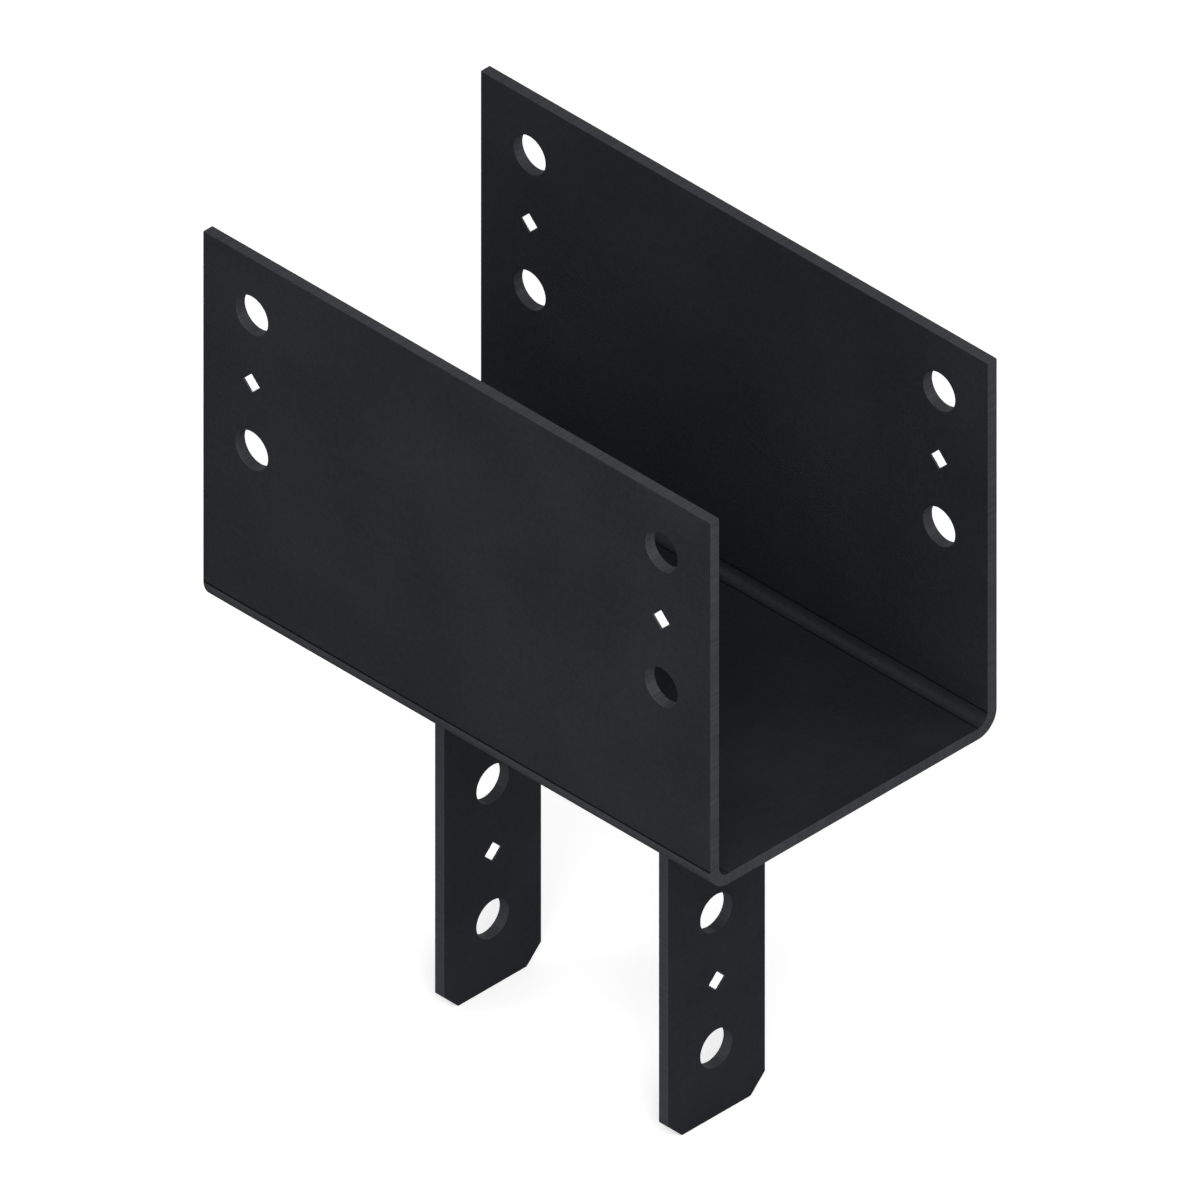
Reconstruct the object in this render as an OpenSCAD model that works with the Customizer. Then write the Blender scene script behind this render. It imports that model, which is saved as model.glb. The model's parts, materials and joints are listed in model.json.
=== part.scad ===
// Column cap for a timber post and beam, as a welded steel bracket.
// A bent plate makes the U-shaped saddle that the beam sits in. Two straps
// welded under it hold the post. The origin is the centre of the beam seat,
// +X runs along the beam and +Z points up.

/* [Beam saddle] */
// Clear width between the side plates
saddle_inside_w = 174.625; // [140:0.005:260]
// Length of the saddle along the beam
saddle_len = 330.2; // [280:0.1:420]
// Height of the side plates above the beam seat
side_h = 203.2; // [170:0.1:280]
// Thickness of the saddle's plate
plate_t = 6.07; // [3:0.01:10]
// Inside radius of the two bends
bend_r = 6; // [2:0.1:14]

/* [Beam bolt holes] */
// Diameter of each bolt hole in the side plates
beam_hole_d = 20.64; // [14:0.01:26]
// Distance of a hole's centre from the end of the saddle
beam_hole_end_dist = 31.75; // [25:0.01:60]
// Distance of the upper hole's centre from the top edge
beam_hole_top_dist = 31.75; // [25:0.01:45]
// Distance between the upper and the lower hole
beam_hole_pitch = 76.2; // [60:0.1:95]
// Side of the square nail hole in the side plates, which stands on its corner
beam_nail_hole_w = 7.94; // [5:0.01:12]

/* [Post straps] */
// Clear distance between the straps
post_w = 139.7; // [90:0.1:190]
// Width of a strap across the beam
strap_w = 63.5; // [50:0.1:90]
// Thickness of a strap
strap_t = 6.07; // [3:0.01:10]
// Length of a strap below the saddle
strap_len = 215.9; // [170:0.1:300]
// Cut across each bottom corner, measured along the edge
corner_cut = 9.525; // [4:0.005:15]

/* [Post bolt holes] */
// Diameter of each bolt hole in the straps
post_hole_d = 20.64; // [14:0.01:26]
// Distance of the lower hole's centre from the end of the strap
post_hole_end_dist = 38.1; // [30:0.1:45]
// Distance between the lower and the upper hole
post_hole_pitch = 76.2; // [60:0.1:90]
// Side of the square nail hole in the straps, which stands on its corner
post_nail_hole_w = 7.94; // [5:0.01:12]

/* [Weld beads] */
// Leg of the fillet weld round the outside of each strap's top
weld_leg = 4.8; // [3:0.1:6]
// Height of the bead's crown over a flat fillet
weld_crown = 0.4; // [0.2:0.05:0.8]

/* [Hidden] */
$fn = 96;

// What a cutter reaches past the face it cuts
cut_over = 1;

// Saddle
seat_z = 0;
underside_z = seat_z - plate_t;
inside_y = saddle_inside_w / 2;
outside_y = inside_y + plate_t;
outer_bend_r = bend_r + plate_t;
side_top_z = seat_z + side_h;
beam_hole_x = saddle_len / 2 - beam_hole_end_dist;
beam_hole_mid_z = side_top_z - beam_hole_top_dist - beam_hole_pitch / 2;

// Straps
strap_inner_x = post_w / 2;
strap_outer_x = strap_inner_x + strap_t;
strap_half_w = strap_w / 2;
strap_end_z = underside_z - strap_len;
post_hole_mid_z = strap_end_z + post_hole_end_dist + post_hole_pitch / 2;

// Welds, whose return on a narrow edge ends in a round that is a leg long
weld_return_min = 0.5;
bead_leg = min(weld_leg, strap_t - weld_return_min);
bead_chord = bead_leg * sqrt(2);
bead_crown_r = (pow(bead_chord / 2, 2) + pow(weld_crown, 2)) / (2 * weld_crown);
bead_centre = bead_leg / 2 - (bead_crown_r - weld_crown) / sqrt(2);
return_len = strap_t - bead_leg;

coat = [0.15, 0.16, 0.17];
weld_coat = [0.24, 0.25, 0.26];

// A plain U filled in, from the bottom up to the top, with both bends rounded
module trough(half_w, bottom, top, r) {
    translate([-half_w, bottom + r])
        square([2 * half_w, top - bottom - r]);
    translate([-half_w + r, bottom])
        square([2 * (half_w - r), r]);
    for (side = [-1, 1])
        translate([side * (half_w - r), bottom + r])
            circle(r);
}

// Two round bolt holes one above the other, with a square nail hole midway
module bolt_and_nail_holes(hole_d, pitch, nail_hole_w) {
    for (side = [-1, 1])
        translate([0, side * pitch / 2])
            circle(d = hole_d);
    rotate(45)
        square(nail_hole_w, center = true);
}

// The bent plate, seen along the beam
module saddle_section() {
    difference() {
        trough(outside_y, underside_z, side_top_z, outer_bend_r);
        trough(inside_y, seat_z, side_top_z + cut_over, bend_r);
    }
}

module saddle() {
    color(coat)
        difference() {
            rotate([90, 0, 90])
                linear_extrude(height = saddle_len, center = true)
                    saddle_section();
            for (side = [-1, 1])
                translate([side * beam_hole_x, 0, beam_hole_mid_z])
                    rotate([90, 0, 0])
                        linear_extrude(height = 2 * (outside_y + cut_over), center = true)
                            bolt_and_nail_holes(beam_hole_d, beam_hole_pitch, beam_nail_hole_w);
        }
}

// A strap's outline across the beam, with both bottom corners cut off
module strap_outline() {
    polygon([
        [-strap_half_w, underside_z],
        [-strap_half_w, strap_end_z + corner_cut],
        [-strap_half_w + corner_cut, strap_end_z],
        [strap_half_w - corner_cut, strap_end_z],
        [strap_half_w, strap_end_z + corner_cut],
        [strap_half_w, underside_z],
    ]);
}

// One strap flat against the post's face on the +X side
module strap() {
    color(coat)
        translate([strap_inner_x, 0, 0])
            rotate([90, 0, 90])
                linear_extrude(height = strap_t)
                    difference() {
                        strap_outline();
                        translate([0, post_hole_mid_z])
                            bolt_and_nail_holes(post_hole_d, post_hole_pitch, post_nail_hole_w);
                    }
}

module strap_left() {
    mirror([1, 0, 0])
        strap();
}

module strap_right() {
    strap();
}

// Half a fillet's square with a slightly crowned face, its root at the origin
module bead_section() {
    intersection() {
        square(bead_leg);
        translate([bead_centre, bead_centre])
            circle(bead_crown_r);
    }
}

// The bead round one outer corner of a strap: the corner, the return on the
// narrow edge and the rounded end that stops level with the post's face
module bead_return() {
    translate([strap_outer_x, strap_half_w, 0])
        rotate_extrude(angle = 90)
            bead_section();
    translate([strap_outer_x - return_len, strap_half_w, 0]) {
        rotate([90, 0, 90])
            linear_extrude(height = return_len)
                bead_section();
        rotate(90)
            rotate_extrude(angle = 90)
                bead_section();
    }
}

// The whole bead under the saddle on the +X side
module weld() {
    color(weld_coat)
        translate([0, 0, underside_z])
            mirror([0, 0, 1]) {
                translate([strap_outer_x, 0, 0])
                    rotate([90, 0, 0])
                        linear_extrude(height = strap_w, center = true)
                            bead_section();
                bead_return();
                mirror([0, 1, 0])
                    bead_return();
            }
}

module weld_left() {
    mirror([1, 0, 0])
        weld();
}

module weld_right() {
    weld();
}

saddle();
strap_left();
strap_right();
weld_left();
weld_right();
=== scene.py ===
"""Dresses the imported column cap: a black-coated saddle, two post straps and their weld beads."""

import json
import math

import bpy
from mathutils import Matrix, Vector


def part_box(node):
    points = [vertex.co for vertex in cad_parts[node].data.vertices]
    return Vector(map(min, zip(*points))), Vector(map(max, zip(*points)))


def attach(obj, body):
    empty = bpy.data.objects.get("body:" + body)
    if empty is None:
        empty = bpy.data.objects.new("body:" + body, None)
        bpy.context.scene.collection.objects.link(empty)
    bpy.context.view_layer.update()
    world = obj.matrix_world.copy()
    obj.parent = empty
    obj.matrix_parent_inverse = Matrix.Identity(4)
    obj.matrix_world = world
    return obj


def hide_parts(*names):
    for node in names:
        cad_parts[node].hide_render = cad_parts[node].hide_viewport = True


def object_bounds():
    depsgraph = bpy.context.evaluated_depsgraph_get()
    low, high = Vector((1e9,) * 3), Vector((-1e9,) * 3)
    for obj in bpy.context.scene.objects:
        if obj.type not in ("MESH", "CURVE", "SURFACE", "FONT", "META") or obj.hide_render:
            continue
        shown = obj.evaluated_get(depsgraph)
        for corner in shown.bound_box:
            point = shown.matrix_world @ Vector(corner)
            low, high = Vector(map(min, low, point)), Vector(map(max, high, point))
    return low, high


bl_info = {
    "name": "Column Cap",
    "version": (1, 0, 0),
    "blender": (4, 5, 0),
    "location": "3D View > Sidebar > Column Cap",
    "description": "Builds a powder-coated column cap: bent saddle, post straps and weld beads",
    "category": "Add Mesh",
}

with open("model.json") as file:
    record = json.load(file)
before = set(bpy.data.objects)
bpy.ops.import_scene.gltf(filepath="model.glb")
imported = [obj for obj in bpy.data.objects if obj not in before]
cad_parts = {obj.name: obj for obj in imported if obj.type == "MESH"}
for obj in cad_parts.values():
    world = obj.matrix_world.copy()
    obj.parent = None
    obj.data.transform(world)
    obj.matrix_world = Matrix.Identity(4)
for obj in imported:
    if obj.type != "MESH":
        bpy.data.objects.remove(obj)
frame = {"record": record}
cad_low, cad_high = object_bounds()
saddle_low, saddle_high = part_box("saddle")
strap_low, strap_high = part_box("strap_right")
weld_low, weld_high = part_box("weld_right")
mounts = {mount["name"]: mount for mount in frame["record"]["mounts"]}
beam_bolts = mounts["beam_bolts_front"]
post_bolts = mounts["post_bolts_right"]

MM = 0.001
INCH = 0.0254
# Points nearer than this are one point
SAME_PLACE = 0.001 * MM
# Distance from one node of a tree to the next, in the node editor
NODE_SPACING = 200

# Side of the square nail holes
NAIL_SIDE = 7.94 * MM

# Facets round a bolt hole, across a bead's face and round a corner of the line it follows
HOLE_STEPS = 72
WELD_STEPS = 14
WELD_CORNER_STEPS = 12
# Distance from one section of a bead to the next
WELD_SECTION_SPACING = 0.3 * MM
# How many pitches a bead's ripples stray at most
RIPPLE_STRAY = 2.5
# The share of a ripple's height at which the face stays where it is
RIPPLE_MIDDLE = 0.7
# What the left bead's seed adds to the right one's
LEFT_BEAD_SEED = 7
# A bead's edges bent by more than this angle, in radians, stay sharp
WELD_SHARP_ANGLE = 1.0

# A tree's mesh starts with an empty slot, so its first finish is in the next one
FACE_SLOT = 1
# Only edges bent by more than this angle are rounded
ARRIS_ANGLE = math.radians(40)

# Sockets of a node that mixes colours, some of which share a name
MIX_FACTOR, MIX_FIRST, MIX_SECOND, MIX_RESULT = 0, 6, 7, 2

# Each noise's scale, in patches to the metre, and its detail
NOISES = {
    "cloud": (14.0, 4.0),
    "fleck": (300.0, 3.0),
    "orange peel": (520.0, 1.0),
    "grain": (2200.0, 2.0),
    "cutter lines": (850.0, 2.0),
    "edge cloud": (60.0, 2.0),
    "weld cloud": (160.0, 3.0),
    "powder edge": (900.0, 2.0),
    "punch lines": (1500.0, 2.0),
    "paper": (3.0, 3.0),
    "ripple stray": (180.0, 2.0),
    "bead waver": (120.0, 2.0),
}
# The range that nearly all of a noise lies in
NOISE_RANGE = (0.3, 0.7)

# What a colour is multiplied by at the two ends of a noise's range
CLOUD_TINT = (0.9, 1.08)
CUTTER_TINT = (0.86, 1.1)
WELD_TINT = (0.85, 1.2)
PUNCH_TINT = (0.88, 1.0)
PAPER_TINT = (0.985, 1.0)
# What a second noise adds to that
FLECK_TINT = (-0.06, 0.06)
EDGE_CLOUD_TINT = (-0.05, 0.05)

# What a noise adds to the coat's roughness at the two ends of its range
CLOUD_ROUGHNESS = (-0.05, 0.05)
CUTTER_ROUGHNESS = (0.06, -0.04)
WELD_ROUGHNESS = (-0.08, 0.04)
# The bare steel's own roughness there
PUNCH_ROUGHNESS = (0.32, 0.22)

# Heights of the bumps
PEEL_HEIGHT = 0.170 * MM
GRAIN_HEIGHT = 0.032 * MM
CUTTER_LINE_HEIGHT = 0.035 * MM
PUNCH_LINE_HEIGHT = 0.02 * MM

# Painted shade along each line of a bend: dark out to the first distance from the line and gone at
# the second
CREASE_SHADE_REACH = (0.3 * MM, 0.6 * MM)
CREASE_SHADE_STRENGTH = 0.8
# The stretched coat of a bend, lighter with a painted sheen, starts at the first distance from a
# bend's line and is full at the second
STRETCH_SHEEN_REACH = (0.1 * MM, 0.9 * MM)
# The powder in a nail hole is full to the first depth and gone at the second
POWDER_REACH = (0.9 * MM, 1.2 * MM)
# Here and there it ends nearer the face, by this much at most
POWDER_EDGE = 0.4 * MM

# The drawing is a true isometric view, 1200 pixels square, and 55.17 of them make an inch of
# what lies square to the view
DRAWING_PX = 1200
DRAWING_PX_PER_M = 55.17 / INCH
DRAWING_CENTRE_ABOVE_SEAT = 30.9 * MM
ISOMETRIC_VIEW = Vector((1, -1, 1)).normalized()
CAMERA_DISTANCE = 2.0

WHITE = (1.0, 1.0, 1.0, 1.0)
BLACK = (0.0, 0.0, 0.0, 1.0)

# On a sphere of radius 1 round the part, the surroundings are dark below the first height and
# full above the second
HORIZON = (-0.35, 0.05)

# Each softbox's direction from the middle, its power in watts and its side
SOFTBOXES = {
    "softbox_front": ((1.0, -1.0, 0.9), 25.0, 1.2),
    "softbox_right": ((1.0, 1.0, 1.0), 4.8, 1.0),
    "softbox_left": ((-1.0, -1.0, 1.0), 3.4, 0.7),
    "softbox_top": ((0.0, 0.0, 1.0), 2.0, 1.4),
}


def length(name, description, default):
    """A size in metres, as the sidebar shows it."""
    return bpy.props.FloatProperty(
        name=name, description=description, default=default, min=0, precision=5, unit="LENGTH"
    )


def number(name, description, default):
    return bpy.props.FloatProperty(
        name=name, description=description, default=default, precision=4
    )


def count(name, description, default):
    return bpy.props.IntProperty(name=name, description=description, default=default, min=1)


def colour(name, description, default):
    return bpy.props.FloatVectorProperty(
        name=name, description=description, default=default, size=3, min=0, max=1, subtype="COLOR"
    )


class SaddleSizes(bpy.types.PropertyGroup):
    """The bent plate that the beam sits in."""

    plate_length: length(
        "Length", "Length of the saddle along the beam", saddle_high.x - saddle_low.x
    )
    thickness: length("Plate thickness", "Thickness of the saddle's plate", -saddle_low.z)
    inside_width: length(
        "Inside width",
        "Clear width between the side plates",
        saddle_high.y - saddle_low.y + 2 * saddle_low.z,
    )
    side_height: length(
        "Side height", "Height of the side plates above the beam seat", saddle_high.z
    )
    bend_radius: length("Bend radius", "Inside radius of the two bends", 6 * MM)
    bend_steps: count("Bend steps", "Flat facets round each bend", 18)
    bolt_radius: length(
        "Bolt hole radius",
        "Radius of the bolt holes in the side plates",
        beam_bolts["dims"]["hole_r_mm"] * MM,
    )
    bolt_spacing: length(
        "Bolt spacing",
        "Distance between the bolt holes along the beam",
        beam_bolts["dims"]["spacing_x_mm"] * MM,
    )
    bolt_pitch: length(
        "Bolt pitch",
        "Distance between the upper and the lower bolt holes",
        beam_bolts["dims"]["spacing_y_mm"] * MM,
    )
    bolt_height: length(
        "Bolt height", "Middle of the bolt holes above the seat", beam_bolts["pos_m"][2]
    )
    nail_side: length("Nail hole", "Side of the square nail holes", NAIL_SIDE)


class StrapSizes(bpy.types.PropertyGroup):
    """The two flat bars that hold the post."""

    width: length("Width", "Width of a strap across the beam", strap_high.y - strap_low.y)
    thickness: length("Thickness", "Thickness of a strap", strap_high.x - strap_low.x)
    drop: length("Length", "Length of a strap below the saddle", strap_high.z - strap_low.z)
    post_width: length("Post width", "Clear distance between the straps", 2 * strap_low.x)
    corner_cut: length("Corner cut", "Cut across each bottom corner", 9.525 * MM)
    bolt_radius: length(
        "Bolt hole radius",
        "Radius of the bolt holes in the straps",
        post_bolts["dims"]["hole_r_mm"] * MM,
    )
    bolt_pitch: length(
        "Bolt pitch",
        "Distance between a strap's two bolt holes",
        post_bolts["dims"]["spacing_y_mm"] * MM,
    )
    bolt_height: length(
        "Bolt height",
        "Middle of the bolt holes above the strap's end",
        post_bolts["pos_m"][2] - strap_low.z,
    )
    nail_side: length("Nail hole", "Side of the square nail hole", NAIL_SIDE)


class WeldSizes(bpy.types.PropertyGroup):
    """The fillet bead round the outside of each strap's top."""

    leg: length("Leg", "Leg of the fillet weld", weld_high.z - weld_low.z)
    crown: length("Crown", "Height of the bead's crown over a flat fillet", 0.4 * MM)
    ripple_pitch: length("Ripple pitch", "Distance from one ripple to the next", 1.6 * MM)
    ripple_height: length("Ripple height", "Height of the ripples", 0.35 * MM)
    ripple_lag: number(
        "Ripple lag", "How far a ripple's middle runs ahead of its ends, in pitches", 0.9
    )
    waver: length("Waver", "How far the bead's face wanders", 0.35 * MM)
    seed: number("Seed", "Picks the bead's irregularity", 3.0)


class Finish(bpy.types.PropertyGroup):
    """The black powder coat."""

    face_colour: colour("Face colour", "Coat on the plates' faces", (0.0143, 0.0153, 0.0187))
    # Lighter than the face colour: partly a thinner coat, partly a painted highlight on edges and
    # bends
    edge_colour: colour(
        "Edge colour", "Thinner coat on cut edges, hole walls and bends", (0.031, 0.0325, 0.0375)
    )
    weld_colour: colour("Weld colour", "Coat on the weld beads", (0.0192, 0.0203, 0.0238))
    bare_colour: colour("Bare colour", "Bare steel inside the nail holes", (0.86, 0.86, 0.87))
    roughness: number("Roughness", "Roughness of the coat", 0.48)
    gloss: number("Gloss", "Specular level of the coat", 0.17)
    arris: length("Arris", "Radius that the coat gives to sharp edges", 0.4 * MM)
    arris_steps: count("Arris steps", "Facets round an arris", 3)


class Studio(bpy.types.PropertyGroup):
    """The floor, the lights and the camera."""

    floor_colour: colour("Floor colour", "The pale floor", (0.9, 0.9, 0.9))
    floor_glow: number("Floor glow", "Light that the floor gives off, as a light table does", 0.4)
    floor_size: length("Floor size", "Side of the floor", 8.0)
    surround: number("Surround", "Brightness of the white surroundings", 0.5)
    underside: number("Underside", "Brightness that the coat reflects from below", 0.05)
    light_level: number("Light level", "Scales the power of every softbox", 1.0)
    softbox_distance: length("Softbox distance", "How far a softbox stands from the middle", 1.8)


class Tree:
    """A node tree that is filled one node at a time, from left to right."""

    def __init__(self, tree):
        self.tree = tree

    def add(self, kind, inputs=None, **settings):
        """A new node, with each input linked to a socket or set to a value."""
        node = self.tree.nodes.new(kind)
        node.location.x = NODE_SPACING * len(self.tree.nodes)
        for name, value in settings.items():
            setattr(node, name, value)
        for key, value in (inputs or {}).items():
            if isinstance(value, bpy.types.NodeSocket):
                self.tree.links.new(value, node.inputs[key])
            else:
                node.inputs[key].default_value = value
        return node

    def get(self, kind, inputs=None, **settings):
        """The first output of a new node."""
        return self.add(kind, inputs, **settings).outputs[0]

    def calc(self, operation, *values):
        """The result of one sum on numbers or sockets."""
        return self.get("ShaderNodeMath", dict(enumerate(values)), operation=operation)

    def parts(self, vector):
        return self.add("ShaderNodeSeparateXYZ", {0: vector}).outputs

    def vector(self, x=0.0, y=0.0, z=0.0):
        return self.get("ShaderNodeCombineXYZ", {"X": x, "Y": y, "Z": z})

    def scaled(self, vector, factor):
        return self.get("ShaderNodeVectorMath", {0: vector, "Scale": factor}, operation="SCALE")

    def ramp(self, value, low, high, result_low=0.0, result_high=1.0):
        """Turns low..high smoothly into result_low..result_high, and no further."""
        inputs = {
            "Value": value,
            "From Min": low,
            "From Max": high,
            "To Min": result_low,
            "To Max": result_high,
        }
        return self.get("ShaderNodeMapRange", inputs, interpolation_type="SMOOTHSTEP")

    def noise(self, place, name, dimensions="3D"):
        scale, detail = NOISES[name]
        inputs = {"Vector": place, "Scale": scale, "Detail": detail}
        return self.get("ShaderNodeTexNoise", inputs, noise_dimensions=dimensions)

    def spread(self, noise, results, base=0.0):
        """Turns a noise's range into the two results, each added to the base."""
        low, high = results
        return self.ramp(noise, *NOISE_RANGE, base + low, base + high)

    def join(self, *geometry):
        joined = self.add("GeometryNodeJoinGeometry")
        for socket in geometry:
            self.tree.links.new(socket, joined.inputs[0])
        return joined.outputs[0]

    def place(self, geometry, translation=(0, 0, 0), rotation=(0, 0, 0)):
        inputs = {"Geometry": geometry, "Translation": translation, "Rotation": rotation}
        return self.get("GeometryNodeTransform", inputs)

    def merge(self, *geometry):
        inputs = {"Geometry": self.join(*geometry), "Distance": SAME_PLACE}
        return self.get("GeometryNodeMergeByDistance", inputs)

    def keep(self, geometry, name, value, kind, domain):
        """The geometry with a value kept on each point or face under a name."""
        inputs = {"Geometry": geometry, "Name": name, "Value": value}
        return self.get("GeometryNodeStoreNamedAttribute", inputs, data_type=kind, domain=domain)

    def kept(self, name, kind):
        return self.get("GeometryNodeInputNamedAttribute", {"Name": name}, data_type=kind)

    def shown(self, name, output):
        """The value kept under a name, as a material reads it."""
        return self.add("ShaderNodeAttribute", attribute_name=name).outputs[output]

    def object_place(self):
        return self.add("ShaderNodeTexCoord").outputs["Object"]


def geometry_tree(name, sizes):
    """An empty Geometry Nodes tree whose inputs are a geometry and the named sizes."""
    group = bpy.data.node_groups.new(name, "GeometryNodeTree")
    group.interface.new_socket("Geometry", in_out="OUTPUT", socket_type="NodeSocketGeometry")
    group.interface.new_socket("Geometry", in_out="INPUT", socket_type="NodeSocketGeometry")
    for label, kind in sizes.items():
        group.interface.new_socket(label, in_out="INPUT", socket_type="NodeSocket" + kind)
    tree = Tree(group)
    return tree, tree.add("NodeGroupInput").outputs


def end_tree(tree, geometry):
    tree.add("NodeGroupOutput", {0: geometry})
    return tree.tree


def end_piece_tree(tree, geometry, *finishes):
    """Makes the result real and gives each selection of faces its material."""
    result = tree.get("GeometryNodeRealizeInstances", {0: geometry})
    for selection, material in finishes:
        inputs = {"Geometry": result, "Selection": selection, "Material": material}
        result = tree.get("GeometryNodeSetMaterial", inputs)
    return end_tree(tree, result)


def end_plate_tree(tree, geometry, given):
    """Finishes the faces, the cut edges and, inside the nail holes, the scarcely coated walls."""
    cut = tree.kept("cut_edge", "BOOLEAN")
    nail_wall = tree.calc("MULTIPLY", cut, tree.kept("nail_rim", "BOOLEAN"))
    return end_piece_tree(
        tree,
        geometry,
        (True, given["Face Finish"]),
        (cut, given["Edge Finish"]),
        (nail_wall, given["Nail Hole Finish"]),
    )


def panel_tree():
    """A flat panel with columns of two bolt holes and a nail hole, standing on the X axis."""
    tree, given = geometry_tree(
        "Punched Panel",
        {
            "Width": "Float",
            "Height": "Float",
            "Corner Cut": "Float",
            "Hole Columns": "Int",
            "Column Spacing": "Float",
            "Hole Height": "Float",
            "Bolt Pitch": "Float",
            "Bolt Radius": "Float",
            "Nail Side": "Float",
        },
    )
    rectangle = tree.get(
        "GeometryNodeCurvePrimitiveQuadrilateral",
        {"Width": given["Width"], "Height": given["Height"]},
    )
    point_y = tree.parts(tree.get("GeometryNodeInputPosition"))["Y"]
    cut_here = tree.calc("MULTIPLY", tree.calc("LESS_THAN", point_y, 0.0), given["Corner Cut"])
    outline = tree.get(
        "GeometryNodeFilletCurve",
        {"Curve": rectangle, "Radius": cut_here, "Count": 1},
        mode="POLY",
    )
    outline = tree.place(outline, tree.vector(y=tree.calc("MULTIPLY", given["Height"], 0.5)))

    bolt_hole = tree.get(
        "GeometryNodeCurvePrimitiveCircle",
        {"Resolution": HOLE_STEPS, "Radius": given["Bolt Radius"]},
    )
    nail_hole = tree.get(
        "GeometryNodeCurvePrimitiveQuadrilateral",
        {"Width": given["Nail Side"], "Height": given["Nail Side"]},
    )
    column = tree.join(
        tree.place(bolt_hole, tree.vector(y=tree.calc("MULTIPLY", given["Bolt Pitch"], 0.5))),
        tree.place(bolt_hole, tree.vector(y=tree.calc("MULTIPLY", given["Bolt Pitch"], -0.5))),
        tree.place(nail_hole, rotation=(0, 0, math.pi / 4)),
    )
    gaps = tree.calc("SUBTRACT", given["Hole Columns"], 1.0)
    first_x = tree.calc("MULTIPLY", tree.calc("MULTIPLY", gaps, given["Column Spacing"]), -0.5)
    row = tree.get(
        "GeometryNodeMeshLine",
        {
            "Count": given["Hole Columns"],
            "Start Location": tree.vector(first_x, given["Hole Height"]),
            "Offset": tree.vector(given["Column Spacing"]),
        },
    )
    holes = tree.get("GeometryNodeInstanceOnPoints", {"Points": row, "Instance": column})
    holes = tree.get("GeometryNodeRealizeInstances", {0: holes})
    panel = tree.get("GeometryNodeFillCurve", {0: tree.join(outline, holes)}, mode="NGONS")
    nearest = tree.add("GeometryNodeProximity", {0: row}, target_element="POINTS").outputs
    at_nail = tree.calc("LESS_THAN", nearest["Distance"], given["Nail Side"])
    return end_tree(tree, tree.keep(panel, "nail_rim", at_nail, "BOOLEAN", "POINT"))


def plate_tree():
    """Thickens a flat blank upwards, and remembers each point's place in it and its cut edges."""
    tree, given = geometry_tree("Plate From Blank", {"Thickness": "Float"})
    blank = tree.merge(given["Geometry"])
    normal_z = tree.parts(tree.get("GeometryNodeInputNormal"))["Z"]
    face_down = tree.calc("LESS_THAN", normal_z, 0.0)
    blank = tree.get("GeometryNodeFlipFaces", {"Mesh": blank, "Selection": face_down})
    place = tree.get("GeometryNodeInputPosition")
    blank = tree.keep(blank, "blank_place", place, "FLOAT_VECTOR", "POINT")
    raised = tree.add(
        "GeometryNodeExtrudeMesh",
        {"Mesh": blank, "Offset Scale": given["Thickness"], "Individual": False},
        mode="FACES",
    ).outputs
    upper = tree.keep(raised["Mesh"], "cut_edge", raised["Side"], "BOOLEAN", "FACE")
    plate = tree.merge(upper, tree.get("GeometryNodeFlipFaces", {"Mesh": blank}))
    depth = tree.parts(tree.get("GeometryNodeInputPosition"))["Z"]
    plate = tree.keep(plate, "depth", depth, "FLOAT", "POINT")
    return end_tree(tree, tree.get("GeometryNodeSetShadeSmooth", {"Geometry": plate}))


def folded_place(tree, flat_half, bend_radius, thickness, bend_run):
    """Where a point of the flat blank goes when the press brake has bent up both sides."""
    place = tree.parts(tree.get("GeometryNodeInputPosition"))
    distance = tree.calc("ABSOLUTE", place["Y"])
    run = tree.calc("MAXIMUM", tree.calc("SUBTRACT", distance, flat_half), 0.0)
    share = tree.calc("MINIMUM", tree.calc("DIVIDE", run, bend_run), 1.0)
    angle = tree.calc("MULTIPLY", share, math.pi / 2)
    rise = tree.calc("MAXIMUM", tree.calc("SUBTRACT", run, bend_run), 0.0)
    radius = tree.calc("SUBTRACT", tree.calc("ADD", bend_radius, thickness), place["Z"])
    flat = tree.calc("MINIMUM", distance, flat_half)
    out = tree.calc("MULTIPLY_ADD", radius, tree.calc("SINE", angle), flat)
    drop = tree.calc("MULTIPLY", radius, tree.calc("COSINE", angle))
    return tree.vector(
        place["X"],
        tree.calc("MULTIPLY", out, tree.calc("SIGN", place["Y"])),
        tree.calc("ADD", tree.calc("SUBTRACT", bend_radius, drop), rise),
    )


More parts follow.
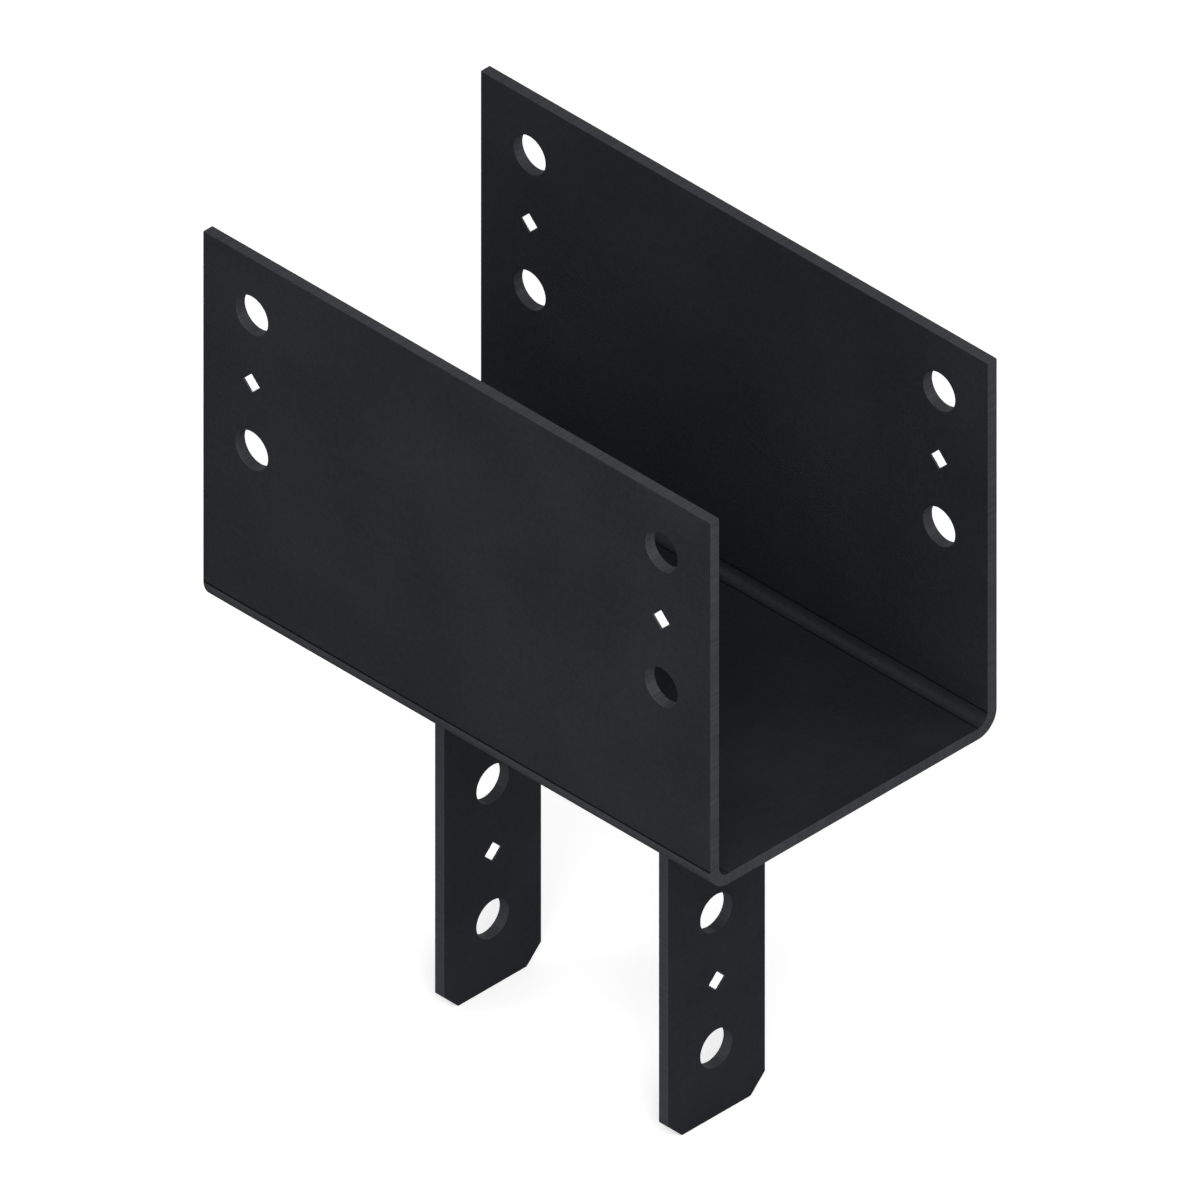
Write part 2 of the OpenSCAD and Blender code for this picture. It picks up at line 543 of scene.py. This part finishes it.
def saddle_tree(panel, plate):
    """The saddle's blank, punched while it is flat, thickened and then folded up."""
    tree, given = geometry_tree(
        "Bent Saddle",
        {
            "Length": "Float",
            "Inside Width": "Float",
            "Side Height": "Float",
            "Thickness": "Float",
            "Bend Radius": "Float",
            "Bend Steps": "Int",
            "Bolt Spacing": "Float",
            "Bolt Pitch": "Float",
            "Bolt Height": "Float",
            "Bolt Radius": "Float",
            "Nail Side": "Float",
            "Face Finish": "Material",
            "Edge Finish": "Material",
            "Nail Hole Finish": "Material",
        },
    )
    radius, thickness = given["Bend Radius"], given["Thickness"]
    flat_half = tree.calc("SUBTRACT", tree.calc("MULTIPLY", given["Inside Width"], 0.5), radius)
    middle_radius = tree.calc("MULTIPLY_ADD", thickness, 0.5, radius)
    bend_run = tree.calc("MULTIPLY", middle_radius, math.pi / 2)
    side_start = tree.calc("ADD", flat_half, bend_run)

    side = tree.get(
        "GeometryNodeGroup",
        {
            "Width": given["Length"],
            "Height": tree.calc("SUBTRACT", given["Side Height"], radius),
            "Hole Columns": 2,
            "Column Spacing": given["Bolt Spacing"],
            "Hole Height": tree.calc("SUBTRACT", given["Bolt Height"], radius),
            "Bolt Pitch": given["Bolt Pitch"],
            "Bolt Radius": given["Bolt Radius"],
            "Nail Side": given["Nail Side"],
        },
        node_tree=panel,
    )
    side = tree.place(side, tree.vector(y=side_start))
    bend = tree.get(
        "GeometryNodeMeshGrid",
        {
            "Size X": given["Length"],
            "Size Y": bend_run,
            "Vertices X": 2,
            "Vertices Y": tree.calc("ADD", given["Bend Steps"], 1.0),
        },
    )
    bend = tree.place(bend, tree.vector(y=tree.calc("MULTIPLY_ADD", bend_run, 0.5, flat_half)))
    floor = tree.get(
        "GeometryNodeMeshGrid",
        {
            "Size X": given["Length"],
            "Size Y": tree.calc("MULTIPLY", flat_half, 2.0),
            "Vertices X": 2,
            "Vertices Y": 2,
        },
    )
    half = tree.join(side, bend)
    blank = tree.join(half, floor, tree.place(half, rotation=(0, 0, math.pi)))
    solid = tree.get(
        "GeometryNodeGroup", {"Geometry": blank, "Thickness": thickness}, node_tree=plate
    )

    middle = tree.parts(tree.get("GeometryNodeInputPosition"))
    distance = tree.calc("ABSOLUTE", middle["Y"])
    in_bend = tree.calc(
        "MULTIPLY",
        tree.calc("GREATER_THAN", distance, flat_half),
        tree.calc("LESS_THAN", distance, side_start),
    )
    # A bend's outside lies at 0 and the middle of its cut edge at half the thickness
    on_outside = tree.calc("LESS_THAN", middle["Z"], tree.calc("MULTIPLY", thickness, 0.25))
    outer_bend = tree.calc("MULTIPLY", in_bend, on_outside)
    solid = tree.keep(solid, "outer_bend", outer_bend, "BOOLEAN", "FACE")
    place = folded_place(tree, flat_half, radius, thickness, bend_run)
    folded = tree.get("GeometryNodeSetPosition", {"Geometry": solid, "Position": place})
    return end_plate_tree(tree, folded, given)


def strap_tree(panel, plate):
    """A strap: the panel with its lower corners cut, thickened and stood against the post."""
    tree, given = geometry_tree(
        "Post Strap",
        {
            "Width": "Float",
            "Height": "Float",
            "Thickness": "Float",
            "Corner Cut": "Float",
            "Bolt Height": "Float",
            "Bolt Pitch": "Float",
            "Bolt Radius": "Float",
            "Nail Side": "Float",
            "Foot": "Vector",
            "Turn": "Rotation",
            "Face Finish": "Material",
            "Edge Finish": "Material",
            "Nail Hole Finish": "Material",
        },
    )
    blank = tree.get(
        "GeometryNodeGroup",
        {
            "Width": given["Width"],
            "Height": given["Height"],
            "Corner Cut": given["Corner Cut"],
            "Hole Columns": 1,
            "Hole Height": given["Bolt Height"],
            "Bolt Pitch": given["Bolt Pitch"],
            "Bolt Radius": given["Bolt Radius"],
            "Nail Side": given["Nail Side"],
        },
        node_tree=panel,
    )
    solid = tree.get(
        "GeometryNodeGroup", {"Geometry": blank, "Thickness": given["Thickness"]}, node_tree=plate
    )
    standing = tree.place(solid, given["Foot"], (math.pi / 2, 0, math.pi / 2))
    return end_plate_tree(tree, tree.place(standing, rotation=given["Turn"]), given)


def bead_profile(tree, leg, crown):
    """The fillet's section: a crowned face from the saddle to the strap, closed at the root."""
    share = tree.calc("DIVIDE", tree.get("GeometryNodeInputIndex"), WELD_STEPS)
    rest = tree.calc("SUBTRACT", 1.0, share)
    # In the middle of the face X and Y both gain crown / sqrt(2), which makes a rise of crown
    bulge = tree.calc("MULTIPLY", tree.calc("MULTIPLY", share, rest), 4 / math.sqrt(2))
    bulge = tree.calc("MULTIPLY", bulge, crown)
    inwards = tree.calc("MULTIPLY", leg, -1.0)
    on_face = tree.vector(
        tree.calc("MULTIPLY_ADD", share, inwards, bulge),
        tree.calc("MULTIPLY_ADD", share, leg, bulge),
    )
    # The root is the one point after the end of the face
    at_root = tree.calc("GREATER_THAN", share, 1 + 0.5 / WELD_STEPS)
    line = tree.get("GeometryNodeMeshLine", {"Count": WELD_STEPS + 2})
    line = tree.keep(line, "across", share, "FLOAT", "POINT")
    line = tree.get("GeometryNodeSetPosition", {"Geometry": line, "Position": on_face})
    line = tree.get(
        "GeometryNodeSetPosition",
        {"Geometry": line, "Selection": at_root, "Position": tree.vector(inwards)},
    )
    position = tree.get("GeometryNodeInputPosition")
    line = tree.keep(line, "in_section", position, "FLOAT_VECTOR", "POINT")
    section = tree.get("GeometryNodeMeshToCurve", {0: line})
    return tree.get("GeometryNodeSetSplineCyclic", {0: section, "Cyclic": True})


def weld_tree():
    """A fillet bead whose outer toe follows the given line of edges, rounded at its corners."""
    tree, given = geometry_tree(
        "Fillet Bead",
        {
            "Leg": "Float",
            "Crown": "Float",
            "Ripple Pitch": "Float",
            "Ripple Height": "Float",
            "Ripple Lag": "Float",
            "Waver": "Float",
            "Seed": "Float",
            "Turn": "Rotation",
            "Finish": "Material",
        },
    )
    leg = given["Leg"]
    path = tree.get("GeometryNodeMeshToCurve", {0: given["Geometry"]})
    path = tree.get(
        "GeometryNodeFilletCurve",
        {"Curve": path, "Radius": leg, "Count": WELD_CORNER_STEPS},
        mode="POLY",
    )
    path = tree.get(
        "GeometryNodeResampleCurve",
        {"Curve": path, "Length": WELD_SECTION_SPACING},
        mode="LENGTH",
    )
    path = tree.get("GeometryNodeSetCurveNormal", {"Curve": path}, mode="Z_UP")
    along = tree.add("GeometryNodeSplineParameter").outputs["Length"]
    path = tree.keep(path, "along", along, "FLOAT", "POINT")
    normal = tree.get("GeometryNodeInputNormal")
    path = tree.keep(path, "outwards", normal, "FLOAT_VECTOR", "POINT")
    section = bead_profile(tree, leg, given["Crown"])
    bead = tree.get(
        "GeometryNodeCurveToMesh", {"Curve": path, "Profile Curve": section, "Fill Caps": True}
    )
    bead = tree.merge(bead)

    along = tree.kept("along", "FLOAT")
    across = tree.kept("across", "FLOAT")
    # 1 in the middle of the face and 0 at its toes
    from_toe = tree.calc("MULTIPLY", across, 4.0)
    window = tree.calc("MULTIPLY", tree.calc("SUBTRACT", 1.0, across), from_toe)
    window = tree.calc("MAXIMUM", window, 0.0)
    stray = tree.noise(tree.vector(along, given["Seed"]), "ripple stray")
    pitches = tree.calc("DIVIDE", along, given["Ripple Pitch"])
    phase = tree.calc("MULTIPLY_ADD", window, given["Ripple Lag"], pitches)
    phase = tree.calc("MULTIPLY_ADD", stray, RIPPLE_STRAY, phase)
    ripple = tree.calc("ABSOLUTE", tree.calc("SINE", tree.calc("MULTIPLY", phase, math.pi)))
    ripple = tree.calc("SUBTRACT", ripple, RIPPLE_MIDDLE)
    ripple = tree.calc("MULTIPLY", ripple, given["Ripple Height"])
    waver = tree.noise(tree.vector(along, across, given["Seed"]), "bead waver")
    waver = tree.calc("MULTIPLY", waver, tree.calc("MULTIPLY", given["Waver"], -1.0))
    growth = tree.calc("DIVIDE", tree.calc("MULTIPLY_ADD", ripple, window, waver), leg)
    in_section = tree.parts(tree.kept("in_section", "FLOAT_VECTOR"))
    from_strap = tree.calc("ADD", in_section["X"], leg)
    sideways = tree.scaled(tree.kept("outwards", "FLOAT_VECTOR"), from_strap)
    downwards = tree.vector(z=tree.calc("MULTIPLY", in_section["Y"], -1.0))
    from_root = tree.get("ShaderNodeVectorMath", {0: sideways, 1: downwards}, operation="ADD")
    bead = tree.get(
        "GeometryNodeSetPosition", {"Geometry": bead, "Offset": tree.scaled(from_root, growth)}
    )
    bead = tree.get("GeometryNodeSetShadeSmooth", {"Geometry": bead})
    edge_angle = tree.get("GeometryNodeInputMeshEdgeAngle")
    sharp = tree.calc("GREATER_THAN", edge_angle, WELD_SHARP_ANGLE)
    bead = tree.get(
        "GeometryNodeSetShadeSmooth",
        {"Geometry": bead, "Selection": sharp, "Shade Smooth": False},
        domain="EDGE",
    )
    return end_piece_tree(tree, tree.place(bead, rotation=given["Turn"]), (True, given["Finish"]))


def plate_trees():
    """The two trees that the saddle and the straps share."""
    groups = bpy.data.node_groups
    panel = groups.get("Punched Panel") or panel_tree()
    plate = groups.get("Plate From Blank") or plate_tree()
    return panel, plate


def evaluated_piece(name, source, group, values, modifiers=()):
    """A plain mesh object holding what a Geometry Nodes tree makes of the source object."""
    bpy.context.scene.collection.objects.link(source)
    shape = source.modifiers.new("Shape", "NODES")
    shape.node_group = group
    for item in group.interface.items_tree:
        if item.in_out == "INPUT" and item.name in values:
            shape[item.identifier] = values[item.name]
    for kind, settings in modifiers:
        modifier = source.modifiers.new(kind, kind)
        for key, value in settings.items():
            setattr(modifier, key, value)
    graph = bpy.context.evaluated_depsgraph_get()
    mesh = bpy.data.meshes.new_from_object(
        source.evaluated_get(graph), preserve_all_data_layers=True, depsgraph=graph
    )
    source.modifiers.clear()
    bpy.data.objects.remove(source)
    if not mesh.polygons:
        raise RuntimeError(f"{name} came out empty")
    if mesh.materials[0] is None:
        mesh.materials.pop(index=0)
    mesh.name = name
    piece = bpy.data.objects.new(name, mesh)
    bpy.context.scene.collection.objects.link(piece)
    return piece


def line_source(points=()):
    """An object whose mesh is a line of edges through the points, or nothing at all."""
    mesh = bpy.data.meshes.new("line")
    mesh.from_pydata(points, [(i, i + 1) for i in range(len(points) - 1)], [])
    return bpy.data.objects.new("line", mesh)


def arris_modifiers(finish):
    """Rounds the sharp edges as the coat does, and keeps the flat faces flat in shading."""
    bevel = {
        "width": finish.arris,
        "segments": finish.arris_steps,
        "limit_method": "ANGLE",
        "angle_limit": ARRIS_ANGLE,
        "use_clamp_overlap": False,
        "material": FACE_SLOT,
    }
    return ("BEVEL", bevel), ("WEIGHTED_NORMAL", {})


def hand_over(piece, node):
    """Hides the CAD part that the piece stands in for, and hangs the piece under the root body."""
    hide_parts(node)
    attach(piece, "root")


def new_material(name):
    material = bpy.data.materials.new(name)
    material.use_nodes = True
    material.node_tree.nodes.clear()
    return material, Tree(material.node_tree)


def blended(tree, factor, first, second, blend="MIX"):
    """The first colour and, as far as the factor says, the second one blended over it."""
    inputs = {MIX_FACTOR: factor, MIX_FIRST: first, MIX_SECOND: second}
    node = tree.add("ShaderNodeMix", inputs, data_type="RGBA", blend_type=blend)
    return node.outputs[MIX_RESULT]


def tinted(tree, base, factor):
    """The colour, lighter or darker by the factor."""
    return blended(tree, 1.0, (*base, 1.0), tree.vector(factor, factor, factor), "MULTIPLY")


def orange_peel(tree, place):
    """Height of the coat's skin: a soft orange peel under a fine grain, both in metres."""
    peel = tree.calc("MULTIPLY", tree.noise(place, "orange peel"), PEEL_HEIGHT)
    grain = tree.calc("MULTIPLY", tree.noise(place, "grain"), GRAIN_HEIGHT)
    return tree.calc("ADD", peel, grain)


def end_coat(tree, finish, colour_socket, roughness, height):
    bump = tree.get("ShaderNodeBump", {"Strength": 1.0, "Distance": 1.0, "Height": height})
    shader = tree.get(
        "ShaderNodeBsdfPrincipled",
        {
            "Base Color": colour_socket,
            "Roughness": roughness,
            "Specular IOR Level": finish.gloss,
            "Normal": bump,
        },
    )
    tree.add("ShaderNodeOutputMaterial", {"Surface": shader})


def face_coat(name, finish, saddle=None):
    """Powder coat on a plate's face. On the saddle it also paints shade along the bends' lines,
    and round each bend's outside a lighter band that is partly stretched coat and partly painted
    sheen.
    """
    material, tree = new_material(name)
    place = tree.object_place()
    cloud = tree.noise(place, "cloud")
    fleck = tree.spread(tree.noise(place, "fleck"), FLECK_TINT)
    shade = tree.calc("ADD", tree.spread(cloud, CLOUD_TINT), fleck)
    tone = tinted(tree, finish.face_colour, shade)
    if saddle:
        flat_half = saddle.inside_width / 2 - saddle.bend_radius
        bend_run = (saddle.bend_radius + saddle.thickness / 2) * math.pi / 2
        # How far inside a bend the point was on the flat blank, and below 0 outside the bends
        distance = tree.calc("ABSOLUTE", tree.parts(tree.shown("blank_place", "Vector"))["Y"])
        from_floor = tree.calc("SUBTRACT", distance, flat_half)
        from_side = tree.calc("SUBTRACT", flat_half + bend_run, distance)
        inside_bend = tree.calc("MINIMUM", from_floor, from_side)
        outer_bend = tree.shown("outer_bend", "Fac")
        # Painted sheen, partly stretched coat: the outside of each bend takes the lighter edge
        # tone
        stretch_sheen_band = tree.calc("MULTIPLY", tree.ramp(inside_bend, *STRETCH_SHEEN_REACH), outer_bend)
        stretched_sheen_tone = tinted(tree, finish.edge_colour, shade)
        tone = blended(tree, stretch_sheen_band, tone, stretched_sheen_tone)
        from_line = tree.calc("ABSOLUTE", inside_bend)
        # Painted shade: a dark line along each bend's two lines, on the inside and the outside
        crease_shade = tree.ramp(from_line, *CREASE_SHADE_REACH, CREASE_SHADE_STRENGTH, 0.0)
        tone = blended(tree, crease_shade, tone, BLACK)
    roughness = tree.spread(cloud, CLOUD_ROUGHNESS, finish.roughness)
    end_coat(tree, finish, tone, roughness, orange_peel(tree, place))
    return material


def edge_coat(name, finish):
    """Thinner coat over a cut edge, which lets the cutter's lines through the plate show. Its
    lighter tone is partly that thinner coat and partly a painted highlight.
    """
    material, tree = new_material(name)
    place = tree.object_place()
    lines = tree.noise(tree.shown("blank_place", "Vector"), "cutter lines", "2D")
    cloud = tree.spread(tree.noise(place, "edge cloud"), EDGE_CLOUD_TINT)
    shade = tree.calc("ADD", tree.spread(lines, CUTTER_TINT), cloud)
    tone = tinted(tree, finish.edge_colour, shade)
    roughness = tree.spread(lines, CUTTER_ROUGHNESS, finish.roughness)
    cut = tree.calc("MULTIPLY", lines, CUTTER_LINE_HEIGHT)
    end_coat(tree, finish, tone, roughness, tree.calc("ADD", cut, orange_peel(tree, place)))
    return material


def weld_coat(name, finish):
    """Powder coat over a weld bead, a little uneven in tone."""
    material, tree = new_material(name)
    place = tree.object_place()
    cloud = tree.noise(place, "weld cloud")
    tone = tinted(tree, finish.weld_colour, tree.spread(cloud, WELD_TINT))
    roughness = tree.spread(cloud, WELD_ROUGHNESS, finish.roughness)
    end_coat(tree, finish, tone, roughness, orange_peel(tree, place))
    return material


def nail_hole_steel(name, finish, thickness):
    """Bare steel inside the nail holes, where only the mouths are wide enough for the powder."""
    material, tree = new_material(name)
    depth = tree.shown("depth", "Fac")
    from_face = tree.calc("MINIMUM", depth, tree.calc("SUBTRACT", thickness, depth))
    powder_edge = tree.noise(tree.object_place(), "powder edge")
    from_face = tree.calc("MULTIPLY_ADD", powder_edge, POWDER_EDGE, from_face)
    powder = tree.ramp(from_face, *POWDER_REACH, 1.0, 0.0)
    powder_roughness = tree.calc("MULTIPLY", powder, finish.roughness)
    lines = tree.noise(tree.shown("blank_place", "Vector"), "punch lines", "2D")
    steel = tinted(tree, finish.bare_colour, tree.spread(lines, PUNCH_TINT))
    steel_roughness = tree.spread(lines, PUNCH_ROUGHNESS)
    bump = tree.get("ShaderNodeBump", {"Distance": PUNCH_LINE_HEIGHT, "Height": lines})
    shader = tree.get(
        "ShaderNodeBsdfPrincipled",
        {
            "Base Color": blended(tree, powder, steel, (*finish.edge_colour, 1.0)),
            "Metallic": tree.calc("SUBTRACT", 1.0, powder),
            "Roughness": tree.calc("MAXIMUM", steel_roughness, powder_roughness),
            "Specular IOR Level": finish.gloss,
            "Normal": bump,
        },
    )
    tree.add("ShaderNodeOutputMaterial", {"Surface": shader})
    return material


def paper_floor(name, studio):
    """Matt paper, very slightly uneven in tone."""
    material, tree = new_material(name)
    shade = tree.spread(tree.noise(tree.object_place(), "paper"), PAPER_TINT)
    shader = tree.get(
        "ShaderNodeBsdfPrincipled",
        {
            "Base Color": tinted(tree, studio.floor_colour, shade),
            "Roughness": 0.9,
            "Specular IOR Level": 0.1,
            "Emission Color": WHITE,
            "Emission Strength": studio.floor_glow,
        },
    )
    tree.add("ShaderNodeOutputMaterial", {"Surface": shader})
    return material


class COLUMNCAP_OT_saddle(bpy.types.Operator):
    """Bend the saddle from its punched blank"""

    bl_idname = "column_cap.saddle"
    bl_label = "Build Saddle"

    def execute(self, context):
        sizes, finish = context.scene.cap_saddle, context.scene.cap_finish
        values = {
            "Length": sizes.plate_length,
            "Inside Width": sizes.inside_width,
            "Side Height": sizes.side_height,
            "Thickness": sizes.thickness,
            "Bend Radius": sizes.bend_radius,
            "Bend Steps": sizes.bend_steps,
            "Bolt Spacing": sizes.bolt_spacing,
            "Bolt Pitch": sizes.bolt_pitch,
            "Bolt Height": sizes.bolt_height,
            "Bolt Radius": sizes.bolt_radius,
            "Nail Side": sizes.nail_side,
            "Face Finish": face_coat("black_coat_saddle", finish, sizes),
            "Edge Finish": edge_coat("black_coat_saddle_edges", finish),
            "Nail Hole Finish": nail_hole_steel("bare_steel_saddle", finish, sizes.thickness),
        }
        group = saddle_tree(*plate_trees())
        rounding = arris_modifiers(finish)
        piece = evaluated_piece("bent_saddle", line_source(), group, values, rounding)
        hand_over(piece, "saddle")
        return {"FINISHED"}


class COLUMNCAP_OT_straps(bpy.types.Operator):
    """Stand a strap against each side of the post"""

    bl_idname = "column_cap.straps"
    bl_label = "Build Straps"

    def execute(self, context):
        sizes, finish = context.scene.cap_strap, context.scene.cap_finish
        foot_z = -context.scene.cap_saddle.thickness - sizes.drop
        values = {
            "Width": sizes.width,
            "Height": sizes.drop,
            "Thickness": sizes.thickness,
            "Corner Cut": sizes.corner_cut,
            "Bolt Height": sizes.bolt_height,
            "Bolt Pitch": sizes.bolt_pitch,
            "Bolt Radius": sizes.bolt_radius,
            "Nail Side": sizes.nail_side,
            "Foot": (sizes.post_width / 2, 0, foot_z),
            "Face Finish": face_coat("black_coat_straps", finish),
            "Edge Finish": edge_coat("black_coat_strap_edges", finish),
            "Nail Hole Finish": nail_hole_steel("bare_steel_straps", finish, sizes.thickness),
        }
        group = strap_tree(*plate_trees())
        rounding = arris_modifiers(finish)
        for side, turn in (("right", 0), ("left", math.pi)):
            values["Turn"] = (0, 0, turn)
            piece = evaluated_piece("post_strap_" + side, line_source(), group, values, rounding)
            hand_over(piece, "strap_" + side)
        return {"FINISHED"}


class COLUMNCAP_OT_welds(bpy.types.Operator):
    """Lay a fillet bead round the outside of each strap's top"""

    bl_idname = "column_cap.welds"
    bl_label = "Build Weld Beads"

    def execute(self, context):
        sizes, strap = context.scene.cap_weld, context.scene.cap_strap
        inner = strap.post_width / 2
        outer = inner + strap.thickness + sizes.leg
        end = strap.width / 2
        out = end + sizes.leg
        z = -context.scene.cap_saddle.thickness
        toe = [
            (inner, -end, z),
            (inner, -out, z),
            (outer, -out, z),
            (outer, out, z),
            (inner, out, z),
            (inner, end, z),
        ]
        coat = weld_coat("black_coat_welds", context.scene.cap_finish)
        group = weld_tree()
        for side, turn, step in (("right", 0, 0), ("left", math.pi, LEFT_BEAD_SEED)):
            values = {
                "Leg": sizes.leg,
                "Crown": sizes.crown,
                "Ripple Pitch": sizes.ripple_pitch,
                "Ripple Height": sizes.ripple_height,
                "Ripple Lag": sizes.ripple_lag,
                "Waver": sizes.waver,
                "Seed": sizes.seed + step,
                "Turn": (0, 0, turn),
                "Finish": coat,
            }
            piece = evaluated_piece("weld_bead_" + side, line_source(toe), group, values)
            hand_over(piece, "weld_" + side)
        return {"FINISHED"}


class COLUMNCAP_OT_stage(bpy.types.Operator):
    """Set up the floor, the soft lights and the isometric camera"""

    bl_idname = "column_cap.stage"
    bl_label = "Set Up Stage"

    def execute(self, context):
        scene, studio = context.scene, context.scene.cap_studio
        half = studio.floor_size / 2
        corners = [(-half, -half), (half, -half), (half, half), (-half, half)]
        mesh = bpy.data.meshes.new("floor")
        mesh.from_pydata([(x, y, cad_low.z) for x, y in corners], [], [(0, 1, 2, 3)])
        mesh.materials.append(paper_floor("pale_paper", studio))
        floor = bpy.data.objects.new("floor", mesh)
        floor.visible_glossy = False
        scene.collection.objects.link(floor)

        world = bpy.data.worlds.new("surroundings")
        world.use_nodes = True
        world.node_tree.nodes.clear()
        tree = Tree(world.node_tree)
        up = tree.parts(tree.add("ShaderNodeTexCoord").outputs["Generated"])["Z"]
        level = tree.ramp(up, *HORIZON, studio.underside, studio.surround)
        light = tree.get("ShaderNodeBackground", {"Color": WHITE, "Strength": level})
        tree.add("ShaderNodeOutputWorld", {"Surface": light})
        scene.world = world

        middle = Vector((0, 0, DRAWING_CENTRE_ABOVE_SEAT))
        for name, (direction, power, side) in SOFTBOXES.items():
            light = bpy.data.lights.new(name, "AREA")
            light.shape = "SQUARE"
            light.size = side
            light.energy = power * studio.light_level
            offset = Vector(direction).normalized() * studio.softbox_distance
            self.aim(scene, light, middle, offset)

        camera = bpy.data.cameras.new("isometric_camera")
        camera.type = "ORTHO"
        camera.ortho_scale = DRAWING_PX / DRAWING_PX_PER_M
        camera.clip_start = 0.05
        camera.clip_end = 20
        scene.camera = self.aim(scene, camera, middle, ISOMETRIC_VIEW * CAMERA_DISTANCE)
        scene.view_settings.view_transform = "Standard"
        return {"FINISHED"}

    def aim(self, scene, data, target, offset):
        """A light or camera at the target plus the offset, looking back at the target."""
        thing = bpy.data.objects.new(data.name, data)
        thing.location = target + offset
        thing.rotation_euler = offset.to_track_quat("Z", "Y").to_euler()
        scene.collection.objects.link(thing)
        return thing


SECTIONS = (
    ("Saddle", "cap_saddle", SaddleSizes, COLUMNCAP_OT_saddle),
    ("Post straps", "cap_strap", StrapSizes, COLUMNCAP_OT_straps),
    ("Weld beads", "cap_weld", WeldSizes, COLUMNCAP_OT_welds),
    ("Finish", "cap_finish", Finish, None),
    ("Stage", "cap_studio", Studio, COLUMNCAP_OT_stage),
)


class COLUMNCAP_PT_sidebar(bpy.types.Panel):
    """Lists the sizes and colours, with a button for each piece"""

    bl_label = "Column Cap"
    bl_idname = "COLUMNCAP_PT_sidebar"
    bl_space_type = "VIEW_3D"
    bl_region_type = "UI"
    bl_category = "Column Cap"

    def draw(self, context):
        for heading, store, sizes, operator in SECTIONS:
            box = self.layout.box()
            box.label(text=heading)
            for name in sizes.__annotations__:
                box.prop(getattr(context.scene, store), name)
            if operator:
                box.operator(operator.bl_idname)


def register():
    for _, store, sizes, operator in SECTIONS:
        bpy.utils.register_class(sizes)
        setattr(bpy.types.Scene, store, bpy.props.PointerProperty(type=sizes))
        if operator:
            bpy.utils.register_class(operator)
    bpy.utils.register_class(COLUMNCAP_PT_sidebar)


def unregister():
    bpy.utils.unregister_class(COLUMNCAP_PT_sidebar)
    for _, store, sizes, operator in reversed(SECTIONS):
        if operator:
            bpy.utils.unregister_class(operator)
        delattr(bpy.types.Scene, store)
        bpy.utils.unregister_class(sizes)


def main():
    register()
    bpy.ops.column_cap.stage()
    bpy.ops.column_cap.saddle()
    bpy.ops.column_cap.straps()
    bpy.ops.column_cap.welds()


if __name__ == "__main__":
    main()
